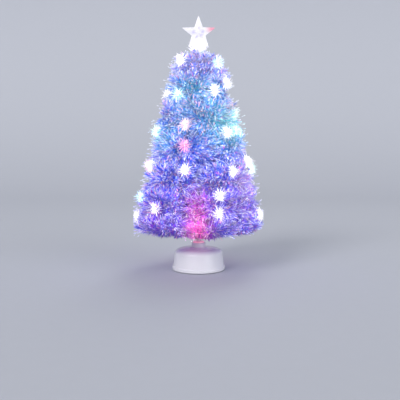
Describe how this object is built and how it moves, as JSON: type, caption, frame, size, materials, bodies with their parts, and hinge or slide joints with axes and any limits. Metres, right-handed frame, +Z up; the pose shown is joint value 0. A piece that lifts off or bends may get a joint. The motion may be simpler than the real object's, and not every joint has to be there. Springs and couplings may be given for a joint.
{
  "type": "fiber optic christmas tree",
  "caption": "Tabletop fibre optic tree with pearl needles, hinged branches, a lift-off lit star and a round base with a lamp and a colour wheel.",
  "frame": {"origin": "middle of the base, on the surface that the tree stands on", "axes": "+Z up along the trunk; the front of the tree and the face of the star look along -Y; +X to the right seen from the front"},
  "size_m": [0.4702, 0.471, 0.9],
  "materials": {
    "shell_plastic": "smooth moulded white, slightly glossy",
    "plate_plastic": "fine moulded grain",
    "foot_rubber": "matt rubber",
    "bare_steel": "plated sheet and rod",
    "trunk_paint": "white enamel on steel tube",
    "ceramic": "unglazed ceramic",
    "reflector_glass": "coated glass reflector",
    "lamp_glass": "clear quartz",
    "board_green": "solder mask on board",
    "black_plastic": "fine moulded grain",
    "filter_blue": "tinted film",
    "filter_red": "tinted film",
    "filter_green": "tinted film",
    "white_plastic": "smooth moulded white",
    "fibre": "bundle of clear plastic fibres, lit from below",
    "needles": "glossy pearl white needles of cut film, lit lavender, cyan and pink; the solids stand for needles and air, so they weigh as cloth",
    "star_plastic": "clear frosted moulding lit white from inside",
    "star_lens": "clear lamp lens"
  },
  "bodies": {
    "base": {"base_shell": "shell_plastic", "base_plate": "plate_plastic", "rubber_foot_1": "foot_rubber", "rubber_foot_2": "foot_rubber", "rubber_foot_3": "foot_rubber", "lamp_chassis": "bare_steel", "lamp_socket": "ceramic", "lamp_reflector": "reflector_glass", "lamp_capsule": "lamp_glass", "control_board": "board_green", "power_inlet": "black_plastic", "switch_bezel": "black_plastic", "wheel_motor": "bare_steel"},
    "colour_wheel": {"wheel_shaft": "bare_steel", "wheel_frame": "black_plastic", "filter_blue": "filter_blue", "filter_red": "filter_red", "filter_green": "filter_green"},
    "power_rocker": {"switch_rocker": "black_plastic"},
    "clamp_screw": {"clamp_shank": "bare_steel"},
    "clamp_knob": {"clamp_knob": "black_plastic"},
    "tree": {"trunk_ferrule": "white_plastic", "trunk_tube": "trunk_paint", "fibre_bundle": "fibre", "crown_top": "needles", "crown_leader": "needles", "star_lamp": "star_lens", "branch_hub_1": "white_plastic", "branch_hub_2": "white_plastic", "branch_hub_3": "white_plastic", "branch_hub_4": "white_plastic", "branch_hub_5": "white_plastic", "branch_hub_6": "white_plastic"},
    "star": {"star_front": "star_plastic", "star_back": "star_plastic", "star_sleeve": "star_plastic"},
    "branch_1_1": {"branch_1_1": "needles"},
    "branch_1_2": {"branch_1_2": "needles"},
    "branch_1_3": {"branch_1_3": "needles"},
    "branch_1_4": {"branch_1_4": "needles"},
    "branch_1_5": {"branch_1_5": "needles"},
    "branch_1_6": {"branch_1_6": "needles"},
    "branch_2_1": {"branch_2_1": "needles"},
    "branch_2_2": {"branch_2_2": "needles"},
    "branch_2_3": {"branch_2_3": "needles"},
    "branch_2_4": {"branch_2_4": "needles"},
    "branch_2_5": {"branch_2_5": "needles"},
    "branch_3_1": {"branch_3_1": "needles"},
    "branch_3_2": {"branch_3_2": "needles"},
    "branch_3_3": {"branch_3_3": "needles"},
    "branch_3_4": {"branch_3_4": "needles"},
    "branch_4_1": {"branch_4_1": "needles"},
    "branch_4_2": {"branch_4_2": "needles"},
    "branch_4_3": {"branch_4_3": "needles"},
    "branch_5_1": {"branch_5_1": "needles"},
    "branch_5_2": {"branch_5_2": "needles"},
    "branch_5_3": {"branch_5_3": "needles"},
    "branch_6_1": {"branch_6_1": "needles"},
    "branch_6_2": {"branch_6_2": "needles"},
    "branch_6_3": {"branch_6_3": "needles"}
  },
  "joints": [
    {"name": "wheel_spin", "type": "hinge", "parent": "base", "child": "colour_wheel", "pos_m": [-0.035, 0, 0.0565], "axis": [0, 0, 1], "continuous": true},
    {"name": "rocker_tilt", "type": "hinge", "parent": "base", "child": "power_rocker", "pos_m": [0.014, 0.0831, 0.032], "axis": [1, 0, 0], "range_deg": [-22, 0]},
    {"name": "clamp_travel", "type": "slide", "parent": "base", "child": "clamp_screw", "axis": [0, 1, 0], "range_m": [0, 0.005]},
    {"name": "clamp_turn", "type": "hinge", "parent": "clamp_screw", "child": "clamp_knob", "pos_m": [0, 0.04, 0.091], "axis": [0, 1, 0], "range_deg": [0, 1440]},
    {"name": "tree_lift", "type": "slide", "parent": "base", "child": "tree", "axis": [0, 0, 1], "range_m": [0, 0.06]},
    {"name": "star_lift", "type": "slide", "parent": "tree", "child": "star", "axis": [0, 0, 1], "range_m": [0, 0.045]},
    {"name": "branch_1_1_hinge", "type": "hinge", "parent": "tree", "child": "branch_1_1", "pos_m": [0.00375, -0.01504, 0.15], "axis": [-0.9703, -0.2419, 0], "range_deg": [-5, 7]},
    {"name": "branch_1_2_hinge", "type": "hinge", "parent": "tree", "child": "branch_1_2", "pos_m": [0.0149, -0.00427, 0.15], "axis": [-0.2756, -0.9613, 0], "range_deg": [-5, 7]},
    {"name": "branch_1_3_hinge", "type": "hinge", "parent": "tree", "child": "branch_1_3", "pos_m": [0.01115, 0.01077, 0.15], "axis": [0.6947, -0.7193, 0], "range_deg": [-5, 7]},
    {"name": "branch_1_4_hinge", "type": "hinge", "parent": "tree", "child": "branch_1_4", "pos_m": [-0.00375, 0.01504, 0.15], "axis": [0.9703, 0.2419, 0], "range_deg": [-5, 7]},
    {"name": "branch_1_5_hinge", "type": "hinge", "parent": "tree", "child": "branch_1_5", "pos_m": [-0.0149, 0.00427, 0.15], "axis": [0.2756, 0.9613, 0], "range_deg": [-5, 7]},
    {"name": "branch_1_6_hinge", "type": "hinge", "parent": "tree", "child": "branch_1_6", "pos_m": [-0.01115, -0.01077, 0.15], "axis": [-0.6947, 0.7193, 0], "range_deg": [-5, 7]},
    {"name": "branch_2_1_hinge", "type": "hinge", "parent": "tree", "child": "branch_2_1", "pos_m": [0.00479, -0.01474, 0.21794], "axis": [-0.9511, -0.309, 0], "range_deg": [-5, 7]},
    {"name": "branch_2_2_hinge", "type": "hinge", "parent": "tree", "child": "branch_2_2", "pos_m": [0.0155, 0, 0.21794], "axis": [0, -1, 0], "range_deg": [-5, 7]},
    {"name": "branch_2_3_hinge", "type": "hinge", "parent": "tree", "child": "branch_2_3", "pos_m": [0.00479, 0.01474, 0.21794], "axis": [0.9511, -0.309, 0], "range_deg": [-5, 7]},
    {"name": "branch_2_4_hinge", "type": "hinge", "parent": "tree", "child": "branch_2_4", "pos_m": [-0.01254, 0.00911, 0.21794], "axis": [0.5878, 0.809, 0], "range_deg": [-5, 7]},
    {"name": "branch_2_5_hinge", "type": "hinge", "parent": "tree", "child": "branch_2_5", "pos_m": [-0.01254, -0.00911, 0.21794], "axis": [-0.5878, 0.809, 0], "range_deg": [-5, 7]},
    {"name": "branch_3_1_hinge", "type": "hinge", "parent": "tree", "child": "branch_3_1", "pos_m": [0.01096, -0.01096, 0.29792], "axis": [-0.7071, -0.7071, 0], "range_deg": [-5, 7]},
    {"name": "branch_3_2_hinge", "type": "hinge", "parent": "tree", "child": "branch_3_2", "pos_m": [0.01096, 0.01096, 0.29792], "axis": [0.7071, -0.7071, 0], "range_deg": [-5, 7]},
    {"name": "branch_3_3_hinge", "type": "hinge", "parent": "tree", "child": "branch_3_3", "pos_m": [-0.01096, 0.01096, 0.29792], "axis": [0.7071, 0.7071, 0], "range_deg": [-5, 7]},
    {"name": "branch_3_4_hinge", "type": "hinge", "parent": "tree", "child": "branch_3_4", "pos_m": [-0.01096, -0.01096, 0.29792], "axis": [-0.7071, 0.7071, 0], "range_deg": [-5, 7]},
    {"name": "branch_4_1_hinge", "type": "hinge", "parent": "tree", "child": "branch_4_1", "pos_m": [-0.00889, -0.0127, 0.38822], "axis": [-0.8192, 0.5736, 0], "range_deg": [-5, 7]},
    {"name": "branch_4_2_hinge", "type": "hinge", "parent": "tree", "child": "branch_4_2", "pos_m": [0.01544, -0.00135, 0.38822], "axis": [-0.0872, -0.9962, 0], "range_deg": [-5, 7]},
    {"name": "branch_4_3_hinge", "type": "hinge", "parent": "tree", "child": "branch_4_3", "pos_m": [-0.00655, 0.01405, 0.38822], "axis": [0.9063, 0.4226, 0], "range_deg": [-5, 7]},
    {"name": "branch_5_1_hinge", "type": "hinge", "parent": "tree", "child": "branch_5_1", "pos_m": [0.00655, -0.01405, 0.48411], "axis": [-0.9063, -0.4226, 0], "range_deg": [-5, 7]},
    {"name": "branch_5_2_hinge", "type": "hinge", "parent": "tree", "child": "branch_5_2", "pos_m": [0.00889, 0.0127, 0.48411], "axis": [0.8192, -0.5736, 0], "range_deg": [-5, 7]},
    {"name": "branch_5_3_hinge", "type": "hinge", "parent": "tree", "child": "branch_5_3", "pos_m": [-0.01544, 0.00135, 0.48411], "axis": [0.0872, 0.9962, 0], "range_deg": [-5, 7]},
    {"name": "branch_6_1_hinge", "type": "hinge", "parent": "tree", "child": "branch_6_1", "pos_m": [-0.00821, -0.01315, 0.58], "axis": [-0.848, 0.5299, 0], "range_deg": [-5, 7]},
    {"name": "branch_6_2_hinge", "type": "hinge", "parent": "tree", "child": "branch_6_2", "pos_m": [0.01549, -0.00054, 0.58], "axis": [-0.0349, -0.9994, 0], "range_deg": [-5, 7]},
    {"name": "branch_6_3_hinge", "type": "hinge", "parent": "tree", "child": "branch_6_3", "pos_m": [-0.00728, 0.01369, 0.58], "axis": [0.8829, 0.4695, 0], "range_deg": [-5, 7]}
  ],
  "couplings": [
    {"joint": "clamp_turn", "follows": "clamp_travel", "rad_per_m": 5026.5}
  ]
}
